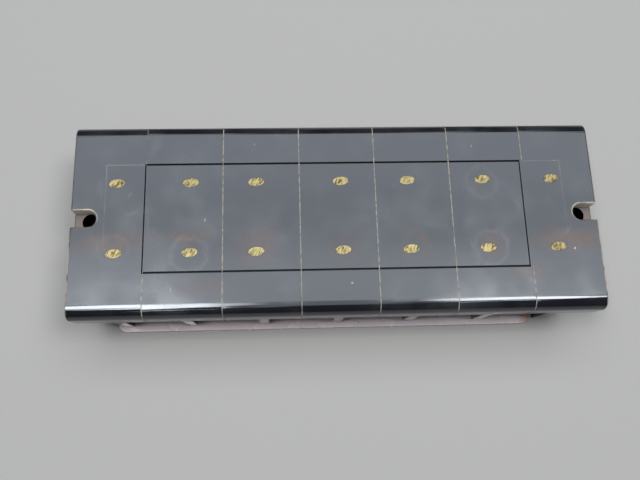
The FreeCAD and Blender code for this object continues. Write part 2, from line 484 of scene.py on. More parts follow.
def cut_notches(base, sizes, high):
    """Cut the open notch of each mounting hole, rounded at its inner end."""
    ledge = high.z - sizes.notch_depth
    rounds, slots = [], []
    for side in (-1, 1):
        x = side * sizes.hole_spacing / 2
        outer = side * (high.x + PAST)
        rounds.append(new_post("round", x, 0, ledge, high.z + PAST, sizes.hole_radius))
        slots.append(new_box("slot", (min(x, outer), -sizes.hole_radius, ledge),
                             (max(x, outer), sizes.hole_radius, high.z + PAST)))
    combine(base, rounds, "DIFFERENCE")
    combine(base, slots, "DIFFERENCE")


def cut_groove_and_seams(block, sizes, high):
    """Sink the fine rectangular groove into the back and raise the flash lines across it."""
    seams = seam_places(sizes)
    half_seam = sizes.seam_width / 2
    half_groove = sizes.groove_width / 2
    half_end = sizes.groove_end_width / 2
    side = sizes.groove_span / 2
    ends = [-sizes.groove_shift - sizes.groove_length / 2, -sizes.groove_shift + sizes.groove_length / 2]
    bisect(block, 0, seams, half_seam, lambda f: not faces_down(f))
    bisect(block, 1, (-side, side), half_groove, faces_up)
    bisect(block, 0, ends, half_end, faces_up)

    def in_groove(face):
        point = face.calc_center_median()
        if not faces_up(face) or point.z < high.z - HAIR:
            return False
        inside_x = ends[0] - half_end < point.x < ends[1] + half_end
        inside_y = abs(point.y) < side + half_groove
        on_long = abs(abs(point.y) - side) < half_groove
        on_end = abs(point.x - nearest(ends, point)) < half_end
        on_seam = abs(point.x - nearest(seams, point)) < half_seam
        crossing = on_long and on_seam and not on_end
        return inside_x and inside_y and (on_long or on_end) and not crossing

    pick(block, "FACE", in_groove)
    bpy.ops.mesh.extrude_region_move(TRANSFORM_OT_translate={"value": (0, 0, -sizes.groove_depth)})

    pick(block, "FACE", lambda f: on_seam_face(f, seams, half_seam, side + half_groove, high))
    bpy.ops.mesh.extrude_region_shrink_fatten(
        TRANSFORM_OT_shrink_fatten={"value": sizes.seam_height, "use_even_offset": True})

    def on_back(face):
        return face.normal.z > LEVEL and abs(face.calc_center_median().z - high.z) < 0.1 * HAIR

    pick(block, "EDGE", lambda e: all(on_back(f) for f in e.link_faces))
    bpy.ops.mesh.dissolve_edges(use_verts=True)
    bpy.ops.object.mode_set(mode="OBJECT")


def on_seam_face(face, seams, half_seam, clear_side, high):
    """True for an outer face of a flash line, which the end lines have only outside the groove."""
    point = face.calc_center_median()
    seam = nearest(seams, point)
    if faces_down(face) or abs(face.normal.x) > 0.5 or abs(point.x - seam) > half_seam:
        return False
    if faces_up(face) and point.z < high.z - HAIR:
        return False
    return abs(seam) < abs(seams[0]) - half_seam or abs(point.y) > clear_side


def grow_barriers(block, sizes, low, z_floor):
    """Pull the barriers out of the floor, thinner towards their tips, with rounded corners."""
    places = [barrier_x(sizes, i) for i in range(sizes.pole_count + 1)]
    half = sizes.barrier_root / 2
    bisect(block, 0, places, half, faces_down)
    for x in places:
        pick(block, "FACE", lambda f: faces_down(f) and abs(f.calc_center_median().x - x) < half)
        bpy.ops.mesh.extrude_region_move(TRANSFORM_OT_translate={"value": (0, 0, low.z - z_floor)})
        reach = max(v.co.y for v in bmesh.from_edit_mesh(block.data).verts if v.select)
        drafted = reach - sizes.barrier_height * math.tan(sizes.side_draft)
        bpy.ops.transform.resize(value=(sizes.barrier_tip / sizes.barrier_root, drafted / reach, 1),
                                 center_override=(x, 0, low.z))
    bevel_edges(block, lambda e: middle(e).z < low.z + HAIR and along(e, 0), sizes.barrier_corner, 6)


def rounded_box(name, low, high, radius):
    """A box with rounded upright edges."""
    box = new_box(name, low, high)
    bevel_edges(box, lambda e: along(e, 2), radius, 6)
    return box


def oval(name, sizes, z_low, z_high):
    """An upright oval solid on the origin's axis, turned a little from X."""
    solid = new_post(name, 0, 0, z_low, z_high, MM, 40)
    pick(solid, "VERT", lambda v: True)
    bpy.ops.transform.resize(value=(sizes.half_length / MM, sizes.half_width / MM, 1),
                             center_override=(0, 0, z_low))
    bpy.ops.object.mode_set(mode="OBJECT")
    solid.data.transform(Matrix.Rotation(sizes.tilt, 4, "Z"))
    return solid


def repeat(first, places, name):
    """Move a piece that was modelled on the origin's axis to each of its places, and return them all."""
    copies = [copy_at(first, f"{name}_{i + 1}", (x, y, 0)) for i, (x, y) in enumerate(places)]
    bpy.data.meshes.remove(first.data)
    return copies


def cut_pockets(block, sizes, metal, pins, z_floor):
    """Cut the bar channels, nut pockets, screw bores and pin holes."""
    bar_low, bar_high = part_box("terminal_bar_1")
    nut_low, nut_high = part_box("terminal_nuts_front")
    low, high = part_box("housing")
    poles = [(pole_x(sizes, i), 0) for i in range(sizes.pole_count)]
    screws = [(pole_x(sizes, i), side * metal.row_offset) for i in range(sizes.pole_count)
              for _, side in ROWS]
    half = (bar_high - bar_low) / 2
    channel = rounded_box("channel", (-half.x - ROOM, -half.y - ROOM, z_floor - PAST),
                          (half.x + ROOM, half.y + ROOM, bar_high.z), metal.bar_corner + ROOM)
    combine(block, repeat(channel, poles, "channel"), "DIFFERENCE")
    nut_half = (nut_high.y - nut_low.y) / 2
    pocket = new_box("pocket", (-nut_half, -nut_half, nut_low.z - ROOM), (nut_half, nut_half, nut_high.z))
    combine(block, repeat(pocket, screws, "pocket"), "DIFFERENCE")
    screw_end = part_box("terminal_screw_front_1")[1].z
    bore = new_post("bore", 0, 0, nut_low.z, max(screw_end, nut_high.z) + PAST, sizes.bore_radius)
    combine(block, repeat(bore, screws, "bore"), "DIFFERENCE")
    hole = oval("pin_hole", pins, high.z - pins.depth, high.z + PAST)
    places = pin_places("front") + pin_places("rear")
    combine(block, repeat(hole, places, "pin_hole"), "DIFFERENCE")


def add_bosses(block, sizes, low, z_floor):
    """Add the two bosses in line with barriers and sink the sockets for the cover's pegs into them."""
    places = [(barrier_x(sizes, i), 0) for i in (1, sizes.pole_count - 1)]
    boss = new_post("boss", 0, 0, low.z, z_floor + OVERLAP, sizes.boss_radius)
    combine(block, repeat(boss, places, "boss"), "UNION")
    socket = new_post("socket", 0, 0, low.z - PAST, low.z + sizes.socket_depth, sizes.socket_radius, 32)
    combine(block, repeat(socket, places, "socket"), "DIFFERENCE")


def add_mounting_pads(block, sizes, high, z_floor):
    """Add the pad round each mounting hole and its web to the end barrier, and bore it through."""
    radius = sizes.hole_radius + sizes.pad_wall
    z_low, z_high = z_floor - sizes.pad_height, z_floor + OVERLAP
    z_notch = high.z - 0.8 * sizes.notch_depth
    posts, webs, holes = [], [], []
    for side, wall in ((-1, barrier_x(sizes, 0)), (1, barrier_x(sizes, sizes.pole_count))):
        x = side * sizes.hole_spacing / 2
        posts.append(new_post("pad", x, 0, z_low, z_high, radius))
        webs.append(new_box("web", (min(x, wall), -radius, z_low), (max(x, wall), radius, z_high)))
        holes.append(new_post("through", x, 0, z_low - PAST, z_notch, sizes.hole_radius - HAIR / 2))
    combine(block, posts, "UNION")
    combine(block, webs, "UNION")
    combine(block, holes, "DIFFERENCE")


def assign_flash(block, sizes, high, z_floor):
    """Give the raised flash lines their own material slot."""
    seams = seam_places(sizes)
    half = sizes.seam_width / 2 + HAIR
    groove_edge = (sizes.groove_span + sizes.groove_width) / 2
    rounding = high.y - 1.2 * sizes.back_radius

    def raised(face):
        point = face.calc_center_median()
        seam = nearest(seams, point)
        if abs(point.x - seam) > half or faces_down(face) or point.z < z_floor:
            return False
        if abs(point.y) < rounding and point.z < high.z - 0.1 * HAIR:
            return False
        return abs(seam) < abs(seams[0]) - half or abs(point.y) > groove_edge

    pick(block, "FACE", raised)
    block.active_material_index = 1
    bpy.ops.object.material_slot_assign()
    bpy.ops.object.mode_set(mode="OBJECT")


class TERMINALSTRIP_OT_moulded_block(bpy.types.Operator):
    """Model the black moulding with its barriers, pockets, notches, groove and flash lines"""

    bl_idname = "terminal_strip.moulded_block"
    bl_label = "Moulded block"

    def execute(self, context):
        sizes = context.scene.strip_block
        colours = context.scene.strip_colours
        low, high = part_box("housing")
        z_floor = low.z + sizes.barrier_height
        block = model_base(sizes, low, high, z_floor)
        grow_barriers(block, sizes, low, z_floor)
        cut_groove_and_seams(block, sizes, high)
        add_bosses(block, sizes, low, z_floor)
        add_mounting_pads(block, sizes, high, z_floor)
        cut_pockets(block, sizes, context.scene.strip_metal, context.scene.strip_pins, z_floor)
        give_materials(block, moulded_phenolic(colours, sizes), mould_flash(colours))
        assign_flash(block, sizes, high, z_floor)
        soften(block, sizes.edge_break)
        finish_piece(block, "block", "housing")
        return {"FINISHED"}


class TERMINALSTRIP_OT_anchor_pins(bpy.types.Operator):
    """Model the oval brass pins, whose ground ends show in the back"""

    bl_idname = "terminal_strip.anchor_pins"
    bl_label = "Oval pins"

    def execute(self, context):
        pins = context.scene.strip_pins
        brass = ground_brass(context.scene.strip_colours)
        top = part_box("anchor_pins_front")[1].z
        for row, _ in ROWS:
            first = oval("pin", pins, top - pins.depth, top + pins.proud)
            bevel_edges(first, above(top), pins.edge_break, 2)
            pieces = joined(repeat(first, pin_places(row), "pin"))
            pieces.name = "oval_pins_" + row
            shade(pieces)
            give_materials(pieces, brass)
            finish_piece(pieces, "block", "anchor_pins_" + row)
        return {"FINISHED"}


def drilled_plate(name, node, corner, holes, radius):
    """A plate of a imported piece's size on the origin's axis, with round holes in a row along Y."""
    low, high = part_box(node)
    half = (high - low) / 2
    plate = rounded_box(name, (-half.x, -half.y, low.z), (half.x, half.y, high.z), corner)
    cutters = [new_post("hole", 0, y, low.z - PAST, high.z + PAST, radius) for y in holes]
    combine(plate, cutters, "DIFFERENCE")
    return plate


class TERMINALSTRIP_OT_terminal_bars(bpy.types.Operator):
    """Model the plated bars with their two screw holes"""

    bl_idname = "terminal_strip.terminal_bars"
    bl_label = "Terminal bars"

    def execute(self, context):
        sizes = context.scene.strip_block
        metal = context.scene.strip_metal
        plating = nickel_plate(context.scene.strip_colours)
        holes = [side * metal.row_offset for _, side in ROWS]
        bar = drilled_plate("bar", "terminal_bar_1", metal.bar_corner, holes, metal.bar_hole)
        soften(bar, metal.edge_break)
        give_materials(bar, plating)
        for index in range(sizes.pole_count):
            piece = copy_at(bar, f"plated_bar_{index + 1}", (pole_x(sizes, index), 0, 0))
            finish_piece(piece, "block", f"terminal_bar_{index + 1}")
        bpy.data.meshes.remove(bar.data)
        for row, _ in ROWS:
            give_materials(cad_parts["terminal_nuts_" + row], plating)
        return {"FINISHED"}


def at_each_terminal(scene, piece, name, body, node):
    """Plate a piece that was modelled on the origin's axis and copy it to all the terminals."""
    give_materials(piece, zinc_plate(scene.strip_colours))
    for row, side in ROWS:
        for index in range(scene.strip_block.pole_count):
            place = (pole_x(scene.strip_block, index), side * scene.strip_metal.row_offset, 0)
            copy = copy_at(piece, f"{name}_{row}_{index + 1}", place)
            finish_piece(copy, f"{body}_{row}_{index + 1}", f"{node}_{row}_{index + 1}")
    bpy.data.meshes.remove(piece.data)


class TERMINALSTRIP_OT_clamp_washers(bpy.types.Operator):
    """Model the square washers that press the wires on the bars"""

    bl_idname = "terminal_strip.clamp_washers"
    bl_label = "Square washers"

    def execute(self, context):
        metal = context.scene.strip_metal
        washer = drilled_plate("washer", "clamp_washer_front_1", metal.clamp_corner, [0], metal.washer_hole)
        soften(washer, metal.edge_break)
        at_each_terminal(context.scene, washer, "square_washer", "washers", "clamp_washer")
        return {"FINISHED"}


class TERMINALSTRIP_OT_spring_washers(bpy.types.Operator):
    """Model the split spring washers under the screw heads"""

    bl_idname = "terminal_strip.spring_washers"
    bl_label = "Spring washers"

    def execute(self, context):
        metal = context.scene.strip_metal
        low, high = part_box("spring_washer_front_1")
        radius = (high.y - low.y) / 2
        thick = high.z - low.z
        ring = new_post("ring", 0, 0, low.z, high.z, radius, 64)
        hole = new_post("hole", 0, 0, low.z - PAST, high.z + PAST, metal.washer_hole)
        combine(ring, [hole], "DIFFERENCE")
        split = new_box("split", (0.1 * metal.spring_gap, -metal.spring_gap / 2, -2 * thick),
                        (2 * radius, metal.spring_gap / 2, 2 * thick))
        split.data.transform(Matrix.Rotation(metal.spring_slant, 4, "X"))
        split.data.transform(Matrix.Translation((0, 0, (low.z + high.z) / 2)))
        combine(ring, [split], "DIFFERENCE")
        soften(ring, metal.edge_break)
        at_each_terminal(context.scene, ring, "split_washer", "washers", "spring_washer")
        return {"FINISHED"}


def model_head(metal, low, z_head):
    """A hexagon head with turned-off corners and a slot, open downwards."""
    corner = metal.head_flats / 2 / math.cos(math.pi / 6)
    head = new_post("head", 0, 0, low.z, z_head, corner, 6)
    head.data.transform(Matrix.Rotation(math.pi / 2, 4, "Z"))
    deselect()
    height = z_head - low.z
    bpy.ops.mesh.primitive_cone_add(vertices=64, radius1=corner - metal.head_chamfer,
                                    radius2=corner - metal.head_chamfer + height,
                                    depth=height, location=(0, 0, (low.z + z_head) / 2))
    combine(head, [named("turned")], "INTERSECT")
    slot = new_box("slot", (-2 * corner, -metal.slot_width / 2, low.z - PAST),
                   (2 * corner, metal.slot_width / 2, low.z + metal.slot_depth))
    combine(head, [slot], "DIFFERENCE")
    soften(head, metal.head_edge)
    return head


def model_thread(metal, z_head, z_end):
    """A core with a helical ridge round it, ended inside the head and at the tip."""
    pitch = metal.thread_pitch
    root = metal.screw_radius - metal.thread_depth
    core = new_post("core", 0, 0, z_head - PAST, z_end, root, 32)
    bevel_edges(core, above(z_end - HAIR), metal.tip_chamfer, 1)
    shade(core)
    deselect()
    bpy.ops.mesh.primitive_circle_add(vertices=3, radius=metal.thread_depth, fill_type="NGON")
    ridge = named("ridge")
    foot, half, start = root - SUNK, 0.44 * pitch, z_head + 0.5 * pitch
    profile = ((foot, 0, start - half), (metal.screw_radius, 0, start), (foot, 0, start + half))
    for vertex, place in zip(ridge.data.vertices, profile):
        vertex.co = place
    turns = (z_end - z_head) / pitch - 1
    steps = int(24 * turns)
    apply_modifier(ridge, "SCREW", axis="Z", angle=2 * math.pi * turns, screw_offset=turns * pitch,
                   steps=steps, render_steps=steps, use_merge_vertices=False, use_normal_calculate=True)
    pick(ridge, "FACE", lambda f: True)
    bpy.ops.mesh.normals_make_consistent(inside=False)
    shade(ridge, 30.0)
    return [core, ridge]


class TERMINALSTRIP_OT_terminal_screws(bpy.types.Operator):
    """Model the slotted hexagon screws with their threads"""

    bl_idname = "terminal_strip.terminal_screws"
    bl_label = "Terminal screws"

    def execute(self, context):
        metal = context.scene.strip_metal
        low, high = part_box("terminal_screw_front_1")
        z_head = low.z + metal.head_height
        screw = joined([model_head(metal, low, z_head)] + model_thread(metal, z_head, high.z))
        at_each_terminal(context.scene, screw, "slotted_screw", "screw", "terminal_screw")
        return {"FINISHED"}


class TERMINALSTRIP_OT_clear_cover(bpy.types.Operator):
    """Model the clear cover strip with its two pegs"""

    bl_idname = "terminal_strip.clear_cover"
    bl_label = "Clear cover"

    def execute(self, context):
        sizes = context.scene.strip_cover
        block = context.scene.strip_block
        low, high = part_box("cover")
        top = low.z + sizes.thick
        cover = rounded_box("cover_strip", low, (high.x, high.y, top), sizes.corner)
        pegs = []
        for index in (1, block.pole_count - 1):
            peg = new_post("peg", barrier_x(block, index), 0, top - PAST, high.z, sizes.peg_radius, 32)
            bevel_edges(peg, above(high.z - HAIR), sizes.peg_chamfer, 1)
            pegs.append(peg)
        combine(cover, pegs, "UNION")
        soften(cover, sizes.edge_break)
        give_materials(cover, cast_acrylic(context.scene.strip_colours, high))
        finish_piece(cover, "cover", "cover")
        return {"FINISHED"}


# The back's level and its end in millimetres, and how deep under the back its marks reach
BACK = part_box("housing")[1].z / MM
BACK_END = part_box("housing")[1].x / MM
MARK_DEPTH = 5.0

# Marks on the back, in millimetres: middle in X and Y, half sizes, turn in degrees, strength
HAZE_RINGS = (
    (-42.4, -10.8, 5.1, 4.9, 0, 0.25),
    (43.6, -10.2, 4.7, 5.0, 0, 0.24),
    (42.4, 9.6, 4.2, 4.6, 0, 0.2),
    (-63.2, -9.3, 4.3, 4.0, 0, 0.14),
)
STAIN_RINGS = (
    (-23.4, -9.8, 4.2, 3.9, 0, 0.45),
    (1.2, -9.6, 4.1, 3.8, 0, 0.35),
    (21.7, -9.3, 3.9, 4.0, 0, 0.45),
)
STAINS = (
    (-64.0, -7.0, 16.0, 4.4, 4, 0.75),
    (-42.5, -5.8, 9.5, 3.4, 0, 0.8),
    (-23.0, -7.0, 9.5, 6.4, 0, 0.55),
    (43.9, -9.6, 5.4, 5.4, 0, 0.75),
    (24.1, -7.0, 2.6, 1.8, -40, 0.8),
    (67.0, -8.0, 16.0, 5.4, 0, 0.95),
    (-38.0, -20.5, 12.0, 3.4, 4, 0.35),
    (54.0, -17.6, 9.0, 3.4, 0, 0.5),
    (2.0, -8.0, 9.0, 5.0, 0, 0.25),
    (-23.6, -13.2, 3.4, 1.6, 0, 0.6),
)
HAZES = (
    (-59.9, 6.6, 1.7, 0.5, 52, 0.35),
    (-58.6, 1.4, 3.2, 0.8, 12, 0.35),
    (-67.8, 9.0, 1.2, 3.4, 0, 0.25),
    (-54.2, -0.9, 0.7, 4.0, 0, 0.3),
    (52.6, 1.9, 1.1, 3.4, 18, 0.25),
    (38.0, -9.8, 0.8, 3.4, 8, 0.3),
    (38.6, -13.4, 2.6, 2.6, 0, 0.2),
    (-52.6, 20.6, 2.2, 4.6, -20, 0.3),
    (66.4, -5.2, 0.9, 3.0, -40, 0.25),
)
NICKS = (
    (-38.0, -0.9, 0.16, 0.7, -18, 0.7),
    (-47.2, -20.9, 0.12, 0.8, 8, 0.4),
    (40.3, 20.8, 0.14, 0.5, -10, 0.6),
    (67.8, -11.0, 0.2, 0.5, -32, 1.2),
    (3.2, -19.9, 0.5, 0.4, 0, 0.4),
    (-23.9, 21.9, 0.12, 0.7, -25, 0.3),
    (16.4, 8.6, 0.12, 0.4, -30, 0.35),
)
# Where a flash line is fainter, in the same form
FAINT_FLASH = (
    (-55.0, 25.0, 3.0, 9.5, 0, 0.7),
)
# A faint pale line runs on from the groove over each ear: where it starts and where it turns, along X
OUTLINE_START = 54.8
OUTLINE_END = 66.3

# Sizes of the patterns in the finishes, and how deep their relief is, in millimetres
FILM_CLOUD = 11.11
FILM_PATCH = 1.818
MARK_WAVE = 4.545
MARK_BEND = 2.2
RUBBED_PATCH = 4.545
OUTLINE_PATCH = 4.0
MOULD_WAVE = 16.67
MOULD_GRAIN = 0.3333
MOULD_RELIEF = 0.05
FLASH_CRUMB = 1.25
GRINDING_MARK = (1.3, 0.34, 1.0)
GRINDING_RELIEF = 0.02
ROLLING_LINE = (0.25, 8.333, 0.25)
TARNISH_CLOUD = 5.0
ZINC_CRYSTAL = 0.4545
ZINC_CLOUD = 2.0
ACRYLIC_CLOUD = 6.667

# Tints of the reflections on the moulding, where it is clean and where it is stained
CLEAN_SHINE = (0.93, 0.98, 1.05)
STAINED_SHINE = (0.97, 0.87, 0.82)


def product(tree, *factors):
    """The product of masks and smooth steps. A step is given as a value and the two places between
    which it rises from 0 to 1, or goes between two levels that follow them."""
    result = None
    for factor in factors:
        if isinstance(factor, tuple):
            value, start, end, *levels = factor
            before, after = levels or (0.0, 1.0)
            factor = add_node(tree, "MapRange", {"Value": value, "From Min": start, "From Max": end,
                                                 "To Min": before, "To Max": after},
                              interpolation_type="SMOOTHSTEP")
        if result is not None:
            factor = add_node(tree, "Math", {0: result, 1: factor}, operation="MULTIPLY")
        result = factor
    return result


def strongest(tree, masks):
    """The strongest of several masks."""
    result = masks[0]
    for mask in masks[1:]:
        result = add_node(tree, "Math", {0: result, 1: mask}, operation="MAXIMUM")
    return result


def distance_from(tree, value, line):
    """How far a value is from a line, to either side."""
    offset = add_node(tree, "Math", {0: value, 1: line}, operation="SUBTRACT")
    return add_node(tree, "Math", {0: offset}, operation="ABSOLUTE")


def layered(tree, base, *layers):
    """A colour with others laid over it in order, each given as its mask and its colour."""
    for mask, top in layers:
        pair = [c if isinstance(c, bpy.types.NodeSocket) else opaque(c) for c in (base, top)]
        base = add_node(tree, "Mix", {"Factor": mask, 6: pair[0], 7: pair[1]}, out=2, data_type="RGBA")
    return base


def marks_mask(tree, place, marks, core=0.2, ring=0.0):
    """One mask for a list of marks: spots that are full in their core and fade to their outline, or
    rings round it. Both are shares of a mark's half size."""
    masks = []
    for x, y, half_x, half_y, turn, strength in marks:
        mapped = add_node(tree, "Mapping", {"Vector": place, "Location": (x, y, BACK),
                                            "Rotation": (0, 0, math.radians(turn)),
                                            "Scale": (half_x, half_y, MARK_DEPTH)}, vector_type="TEXTURE")
        reach = add_node(tree, "VectorMath", {0: mapped}, out="Value", operation="LENGTH")
        if ring:
            step = (distance_from(tree, reach, 1.0), 0.0, ring, strength, 0.0)
        else:
            step = (reach, core, 1.0, strength, 0.0)
        masks.append(product(tree, step))
    return strongest(tree, masks)


def spot_on_block(tree, place, sizes):
    """Where a place lies on the block: its x, y and z, how far out towards an end and towards a side,
    and its reach from the axis of a mounting hole or, past it, from the notch's middle."""
    x, y, z = [add_node(tree, "SeparateXYZ", {0: place}, out=axis) for axis in "XYZ"]
    out = distance_from(tree, x, 0.0)
    inward = add_node(tree, "Math", {0: out, 1: sizes.hole_spacing / 2 / MM}, operation="SUBTRACT")
    inward = add_node(tree, "Math", {0: inward, 1: 0.0}, operation="MINIMUM")
    flat = add_node(tree, "CombineXYZ", {0: inward, 1: y})
    reach = add_node(tree, "VectorMath", {0: flat}, out="Value", operation="LENGTH")
    return {"x": x, "y": y, "z": z, "out": out, "aside": distance_from(tree, y, 0.0), "reach": reach}


def hollows(tree, spot, sizes):
    """Masks of the walls of the notches, which get painted light and shade, and of the bores and the
    groove, which lie in the dark and get painted shade.
    """
    radius = sizes.hole_radius / MM
    ledge = BACK - sizes.notch_depth / MM
    end = (sizes.groove_length / 2 + sizes.groove_shift) / MM
    side = sizes.groove_span / 2 / MM
    in_notch = (spot["reach"], radius + 0.03, radius + 0.06, 1.0, 0.0)
    walls = product(tree, in_notch, (spot["z"], ledge - 0.6, ledge))
    bores = product(tree, in_notch, (spot["z"], ledge - 0.6, ledge, 1.0, 0.0))
    groove = product(tree, (spot["z"], BACK - 0.1, BACK - 0.04, 1.0, 0.0),
                     (spot["z"], BACK - 2.5, BACK - 2.3),
                     (spot["out"], end + 1.0, end + 1.5, 1.0, 0.0),
                     (spot["aside"], side + 1.0, side + 1.5, 1.0, 0.0))
    return walls, strongest(tree, [bores, groove])


def rubbed_and_lit_edges(tree, place, spot, sizes):
    """Mask of the rims of the notches and of the end edges, rubbed here and there, with painted light on
    the wear: the notch rims are paler towards the rear and the end edges towards the front corners, where a
    painted highlight wraps round them.
    """
    radius = sizes.hole_radius / MM
    patches = add_node(tree, "TexNoise", {"Vector": place, "Scale": 1 / RUBBED_PATCH, "Detail": 3.0})
    # Painted light on the rubbed wear: the rims paler towards the rear, the end edges paler towards the
    # front corners as a painted highlight
    rims = product(tree, (spot["reach"], radius + 0.03, radius + 0.1),
                   (spot["reach"], radius + 0.35, radius + 0.55, 1.0, 0.0),
                   (spot["y"], -2.6, 0.6, 0.3, 1.0))
    ends = product(tree, (spot["out"], BACK_END - 0.5, BACK_END - 0.25), (spot["y"], -14.0, 6.0, 1.0, 0.3))
    return product(tree, strongest(tree, [rims, ends]), (spot["z"], BACK - 1.2, BACK - 0.5),
                   (patches, 0.4, 0.56, 0.4, 1.0))


def faint_outline(tree, place, spot, sizes):
    """Mask of the faint line over each ear, which is plainer towards the rear and on the left."""
    side = sizes.groove_span / 2 / MM
    patches = add_node(tree, "TexNoise", {"Vector": place, "Scale": 1 / OUTLINE_PATCH, "Detail": 3.0})
    lines = []
    for value, line, other, start, stop in (
            (spot["aside"], side, spot["out"], OUTLINE_START, OUTLINE_END),
            (spot["out"], OUTLINE_END, spot["aside"], -1.0, side)):
        lines.append(product(tree, (distance_from(tree, value, line), 0.07, 0.17, 1.0, 0.0),
                             (other, start, start + 0.4), (other, stop, stop + 0.1, 1.0, 0.0)))
    return product(tree, strongest(tree, lines), (spot["z"], BACK - 0.2, BACK - 0.05),
                   (patches, 0.35, 0.6, 0.4, 1.0), (spot["y"], -8.0, side, 0.04, 0.26),
                   (spot["x"], -30.0, 60.0, 1.0, 0.65))


def bent_place(tree, place):
    """The place with slow waves in it, so that the outlines of marks aren't true ovals."""
    wave = add_node(tree, "TexNoise", {"Vector": place, "Scale": 1 / MARK_WAVE, "Detail": 1.0},
                    out="Color")
    offset = add_node(tree, "VectorMath", {0: wave, 1: (-0.5, -0.5, -0.5)}, operation="ADD")
    bend = add_node(tree, "VectorMath", {0: offset, "Scale": MARK_BEND}, operation="SCALE")
    return add_node(tree, "VectorMath", {0: place, 1: bend}, operation="ADD")


def moulded_phenolic(colours, sizes):
    """Black phenolic moulding compound, pressed in a polished mould: deep black with a hard gloss, dulled
    by a thin film, stained brown round the pins and rubbed pale along its end edges.
    Painted shade darkens the bores, the groove and the low notch walls, painted light brightens the upper
    notch walls and the rear notch rims, and a painted highlight pales the end edges towards the front
    corners."""
    material, tree, shader = new_material("moulded_phenolic", IOR=1.7)
    place = place_in_mm(tree)
    bent = bent_place(tree, place)
    spot = spot_on_block(tree, place, sizes)
    film, patches = [
        add_node(tree, "TexNoise", {"Vector": place, "Scale": 1 / size, "Detail": 4.0})
        for size in (FILM_CLOUD, FILM_PATCH)]
    patchy = (patches, 0.3, 0.6, 0.35, 1.0)
    hazes = [marks_mask(tree, bent, HAZE_RINGS, ring=0.26), marks_mask(tree, bent, HAZES)]
    hazes = product(tree, strongest(tree, hazes), patchy)
    stains = [marks_mask(tree, bent, STAIN_RINGS, ring=0.4), marks_mask(tree, bent, STAINS)]
    stains = product(tree, strongest(tree, stains), patchy)
    walls, dark = hollows(tree, spot, sizes)
    rubbed = [rubbed_and_lit_edges(tree, place, spot, sizes), faint_outline(tree, place, spot, sizes)]
    rubbed = strongest(tree, rubbed)
    ledge = BACK - sizes.notch_depth / MM
    # Painted shade low on the notch walls, rising into their rubbed pale colour brightened as painted light
    wall = layered(tree, colours.notch_wall_shade,
                   (product(tree, (spot["z"], ledge, ledge + 0.7)), colours.notch_rim_wear_and_light))
    base = layered(tree, colours.phenolic,
                   (product(tree, (film, 0.42, 0.75, 0.0, 0.22)), colours.phenolic_haze),
                   (stains, colours.phenolic_stain),
                   (hazes, colours.phenolic_haze),
                   (walls, wall),
                   # Painted shade in the bores and the groove
                   (dark, colours.hollow_shade),
                   (marks_mask(tree, place, NICKS, core=0.6), colours.worn_and_lit_rim),
                   # Rubbed wear on the rims and end edges, with painted light and a painted highlight in it
                   (rubbed, colours.worn_and_lit_rim))
    rough = product(tree, (film, 0.3, 0.75, 0.1, 0.19))
    rough = add_node(tree, "Math", {0: hazes, 1: 0.1, 2: rough}, operation="MULTIPLY_ADD")
    for mask, value in ((walls, 0.7), (dark, 0.9), (rubbed, 0.45)):
        rough = add_node(tree, "Mix", {"Factor": mask, 2: rough, 3: value})
    wave = add_node(tree, "TexNoise", {"Vector": place, "Scale": 1 / MOULD_WAVE, "Detail": 1.0})
    grain = add_node(tree, "TexNoise", {"Vector": place, "Scale": 1 / MOULD_GRAIN, "Detail": 2.0})
    height = add_node(tree, "Mix", {"Factor": 0.08, 2: wave, 3: grain})
    bump = add_node(tree, "Bump", {"Strength": 0.5, "Distance": MOULD_RELIEF * MM, "Height": height})
    connect(tree, shader, {"Base Color": base, "Roughness": rough, "Normal": bump,
                           "Specular Tint": layered(tree, CLEAN_SHINE, (stains, STAINED_SHINE))})
    return material


def mould_flash(colours):
    """Thin flash that the mould's joints leave: rough, pale with dust and broken here and there."""
    material, tree, shader = new_material("mould_flash", Roughness=0.5, IOR=1.5)
    place = place_in_mm(tree)
    crumbs = add_node(tree, "TexNoise", {"Vector": place, "Scale": 1 / FLASH_CRUMB, "Detail": 4.0})
    pale = product(tree, (crumbs, 0.36, 0.62, 0.1, 0.9))
    faint = marks_mask(tree, place, FAINT_FLASH, core=0.8)
    pale = add_node(tree, "Math", {0: pale, 1: faint}, operation="SUBTRACT", use_clamp=True)
    connect(tree, shader, {"Base Color": layered(tree, colours.phenolic_haze, (pale, colours.flash))})
    return material


def ground_brass(colours):
    """Bare brass, ground flush with the back: pale yellow metal with steep slanting marks and grime."""
    material, tree, shader = new_material("ground_brass", Metallic=1.0)
    turned = add_node(tree, "Mapping", {"Vector": place_in_mm(tree), "Rotation": (0, 0, math.radians(62)),
                                        "Scale": GRINDING_MARK}, vector_type="TEXTURE")
    marks = add_node(tree, "TexNoise", {"Vector": turned, "Scale": 1.0, "Detail": 5.0, "Roughness": 0.65})
    clean = product(tree, (marks, 0.4, 0.54))
    bump = add_node(tree, "Bump", {"Strength": 0.3, "Distance": GRINDING_RELIEF * MM, "Height": marks})
    connect(tree, shader, {"Base Color": layered(tree, colours.brass_dark, (clean, colours.brass)),
                           "Roughness": product(tree, (clean, 0.0, 1.0, 0.7, 0.5)),
                           "Normal": bump})
    return material


